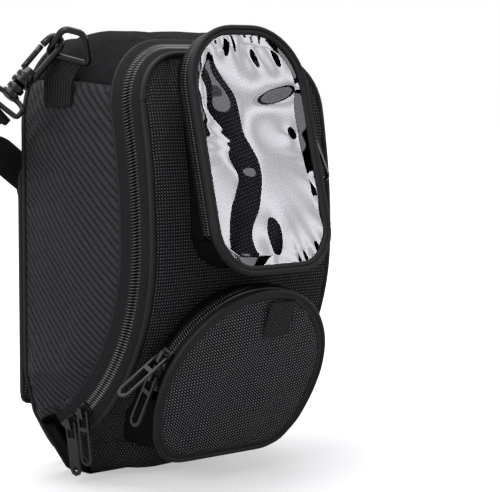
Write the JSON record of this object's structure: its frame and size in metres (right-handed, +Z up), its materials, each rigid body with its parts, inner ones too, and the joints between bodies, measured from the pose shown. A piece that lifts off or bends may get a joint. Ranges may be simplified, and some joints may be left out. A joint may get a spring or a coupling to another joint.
{
  "type": "motorcycle tank bag",
  "caption": "Soft motorcycle tank bag with zipped main lid, clear-windowed phone pocket, round front pocket, folding magnetic flaps and a clip-on shoulder strap.",
  "frame": {"origin": "on the floor face of the nose end, on the bag's middle plane, 10 mm in front of the tank face", "axes": "+Z up along the bag from nose to rear end, -Y out through the window, +Y towards the tank face, X across the bag"},
  "size_m": [0.3043, 0.1895, 0.316],
  "materials": {
    "ballistic_nylon": "coarse woven nylon, matt black",
    "carbon_vinyl": "black vinyl-faced fabric with a fine diagonal rib",
    "zip_tape": "black knitted tape with a coil chain",
    "zip_metal": "black lacquered zinc",
    "acetal_plastic": "moulded black plastic",
    "clear_vinyl": "clear flexible vinyl film",
    "webbing": "ribbed black nylon webbing",
    "reflective_tape": "silver reflective piping",
    "magnet_nickel": "plated magnet",
    "board_plastic": "polyethylene stiffener board"
  },
  "bodies": {
    "bag_body": {"base_panel": "ballistic_nylon", "base_board": "board_plastic", "left_side_panel": "carbon_vinyl", "right_side_panel": "carbon_vinyl", "rear_wall": "carbon_vinyl", "front_nose": "ballistic_nylon", "main_zip_body_half": "zip_tape", "left_ring_tab": "webbing", "right_ring_tab": "webbing", "shoulder_strap": "webbing", "strap_slider": "acetal_plastic"},
    "main_lid": {"lid_panel": "ballistic_nylon", "main_zip_lid_half": "zip_tape", "phone_pocket_wall": "ballistic_nylon", "phone_zip_wall_half": "zip_tape", "round_pocket_wall": "ballistic_nylon", "round_zip_wall_half": "zip_tape"},
    "phone_lid": {"phone_lid_frame": "ballistic_nylon", "phone_window": "clear_vinyl", "phone_zip_lid_half": "zip_tape"},
    "round_lid": {"round_pocket_lid": "ballistic_nylon", "round_pocket_tab": "webbing", "round_zip_lid_half": "zip_tape"},
    "main_slider_first": {"main_slider_first": "zip_metal"},
    "main_pull_first": {"main_pull_first": "acetal_plastic"},
    "main_slider_second": {"main_slider_second": "zip_metal"},
    "main_pull_second": {"main_pull_second": "acetal_plastic"},
    "round_slider_first": {"round_slider_first": "zip_metal"},
    "round_pull_first": {"round_pull_first": "acetal_plastic"},
    "round_slider_second": {"round_slider_second": "zip_metal"},
    "round_pull_second": {"round_pull_second": "acetal_plastic"},
    "phone_slider_first": {"phone_slider_first": "zip_metal"},
    "phone_pull_first": {"phone_pull_first": "acetal_plastic"},
    "phone_slider_second": {"phone_slider_second": "zip_metal"},
    "phone_pull_second": {"phone_pull_second": "acetal_plastic"},
    "left_wing": {"left_wing_lining": "ballistic_nylon", "left_wing_magnet": "magnet_nickel", "left_wing_cover": "ballistic_nylon", "left_wing_piping": "reflective_tape"},
    "right_wing": {"right_wing_lining": "ballistic_nylon", "right_wing_magnet": "magnet_nickel", "right_wing_cover": "ballistic_nylon", "right_wing_piping": "reflective_tape"},
    "front_flap": {"front_flap_lining": "ballistic_nylon", "front_flap_magnet": "magnet_nickel", "front_flap_cover": "ballistic_nylon"},
    "rear_flap": {"rear_flap_lining": "ballistic_nylon", "rear_flap_magnet": "magnet_nickel", "rear_flap_cover": "ballistic_nylon"},
    "left_ring": {"left_d_ring": "acetal_plastic", "left_hook_body": "acetal_plastic"},
    "left_gate": {"left_hook_gate": "acetal_plastic"},
    "left_swivel": {"left_hook_swivel": "acetal_plastic"},
    "right_ring": {"right_d_ring": "acetal_plastic", "right_hook_body": "acetal_plastic"},
    "right_gate": {"right_hook_gate": "acetal_plastic"},
    "right_swivel": {"right_hook_swivel": "acetal_plastic"}
  },
  "joints": [
    {"name": "main_lid_open", "type": "hinge", "parent": "bag_body", "child": "main_lid", "pos_m": [0, -0.0138, 0], "axis": [1, 0, 0], "range_deg": [0, 95]},
    {"name": "phone_lid_open", "type": "hinge", "parent": "main_lid", "child": "phone_lid", "pos_m": [0, -0.14148, 0.14975], "axis": [1, 0, 0], "range_deg": [0, 110]},
    {"name": "round_lid_open", "type": "hinge", "parent": "main_lid", "child": "round_lid", "pos_m": [0, -0.08116, 0.01963], "axis": [1, 0, 0], "range_deg": [0, 100]},
    {"name": "main_slider_first_travel", "type": "hinge", "parent": "main_lid", "child": "main_slider_first", "pos_m": [-0.084, 0.04782, 0.168], "axis": [1, 0, 0], "range_deg": [0, 3]},
    {"name": "main_pull_first_swing", "type": "hinge", "parent": "main_slider_first", "child": "main_pull_first", "pos_m": [-0.08878, -0.02886, 0.04287], "axis": [-0.2066, 0.9784, 0], "range_deg": [0, 120]},
    {"name": "main_slider_second_travel", "type": "hinge", "parent": "main_lid", "child": "main_slider_second", "pos_m": [-0.084, 0.04782, 0.168], "axis": [1, 0, 0], "range_deg": [-50, 0]},
    {"name": "main_pull_second_swing", "type": "hinge", "parent": "main_slider_second", "child": "main_pull_second", "pos_m": [-0.08878, -0.04253, 0.05236], "axis": [-0.2414, 0.9704, 0], "range_deg": [0, 120]},
    {"name": "round_slider_first_travel", "type": "hinge", "parent": "round_lid", "child": "round_slider_first", "pos_m": [0, -0.10727, 0.07047], "axis": [0, -0.9205, -0.3907], "range_deg": [0, 3.5]},
    {"name": "round_pull_first_swing", "type": "hinge", "parent": "round_slider_first", "child": "round_pull_first", "pos_m": [-0.07491, -0.10259, 0.08389], "axis": [0, 0.9205, 0.3907], "range_deg": [0, 40]},
    {"name": "round_slider_second_travel", "type": "hinge", "parent": "round_lid", "child": "round_slider_second", "pos_m": [0, -0.10727, 0.07047], "axis": [0, -0.9205, -0.3907], "range_deg": [-45, 0]},
    {"name": "round_pull_second_swing", "type": "hinge", "parent": "round_slider_second", "child": "round_pull_second", "pos_m": [-0.07153, -0.1081, 0.09687], "axis": [0, 0.9205, 0.3907], "range_deg": [0, 120]},
    {"name": "phone_slider_first_travel", "type": "slide", "parent": "phone_lid", "child": "phone_slider_first", "axis": [0, 0.2419, 0.9703], "range_m": [-0.044, 0]},
    {"name": "phone_pull_first_swing", "type": "hinge", "parent": "phone_slider_first", "child": "phone_pull_first", "pos_m": [0.05565, -0.11691, 0.22607], "axis": [0, -0.9703, 0.2419], "range_deg": [0, 18]},
    {"name": "phone_slider_second_travel", "type": "slide", "parent": "phone_lid", "child": "phone_slider_second", "axis": [0, 0.2419, 0.9703], "range_m": [0, 0.02]},
    {"name": "phone_pull_second_swing", "type": "hinge", "parent": "phone_slider_second", "child": "phone_pull_second", "pos_m": [0.05565, -0.11207, 0.24548], "axis": [0, -0.9703, 0.2419], "range_deg": [0, 120]},
    {"name": "left_wing_fold", "type": "hinge", "parent": "bag_body", "child": "left_wing", "pos_m": [-0.102, 0.01025, 0], "axis": [0, 0, 1], "range_deg": [0, 180]},
    {"name": "right_wing_fold", "type": "hinge", "parent": "bag_body", "child": "right_wing", "pos_m": [0.102, 0.01025, 0], "axis": [0, 0, -1], "range_deg": [0, 180]},
    {"name": "front_flap_fold", "type": "hinge", "parent": "bag_body", "child": "front_flap", "pos_m": [0, 0.01025, 0], "axis": [-1, 0, 0], "range_deg": [0, 180]},
    {"name": "rear_flap_fold", "type": "hinge", "parent": "bag_body", "child": "rear_flap", "pos_m": [0, 0.01025, 0.3065], "axis": [1, 0, 0], "range_deg": [0, 180]},
    {"name": "left_ring_swing", "type": "hinge", "parent": "bag_body", "child": "left_ring", "pos_m": [-0.098, -0.041, 0.293], "axis": [0.7225, -0.644, -0.2513], "range_deg": [-25, 15], "deforming": ["shoulder_strap", "strap_slider"]},
    {"name": "left_gate_press", "type": "hinge", "parent": "left_ring", "child": "left_gate", "pos_m": [-0.12673, -0.03075, 0.28851], "axis": [-0.4874, -0.8104, 0.3252], "range_deg": [-18, 0], "stiffness_Nm_per_rad": 0.05},
    {"name": "left_swivel_turn", "type": "hinge", "parent": "left_ring", "child": "left_swivel", "pos_m": [-0.1463, -0.02997, 0.26113], "axis": [0.6816, -0.1203, 0.7217], "continuous": true},
    {"name": "right_ring_swing", "type": "hinge", "parent": "bag_body", "child": "right_ring", "pos_m": [0.098, -0.041, 0.293], "axis": [-0.7225, -0.644, -0.2513], "range_deg": [0, 60]},
    {"name": "right_gate_press", "type": "hinge", "parent": "right_ring", "child": "right_gate", "pos_m": [0.11278, -0.04213, 0.25018], "axis": [-0.7306, -0.6459, -0.2216], "range_deg": [-18, 0], "stiffness_Nm_per_rad": 0.05},
    {"name": "right_swivel_turn", "type": "hinge", "parent": "right_ring", "child": "right_swivel", "pos_m": [0.12461, -0.04474, 0.21877], "axis": [-0.2493, -0.0499, 0.9672], "continuous": true}
  ]
}
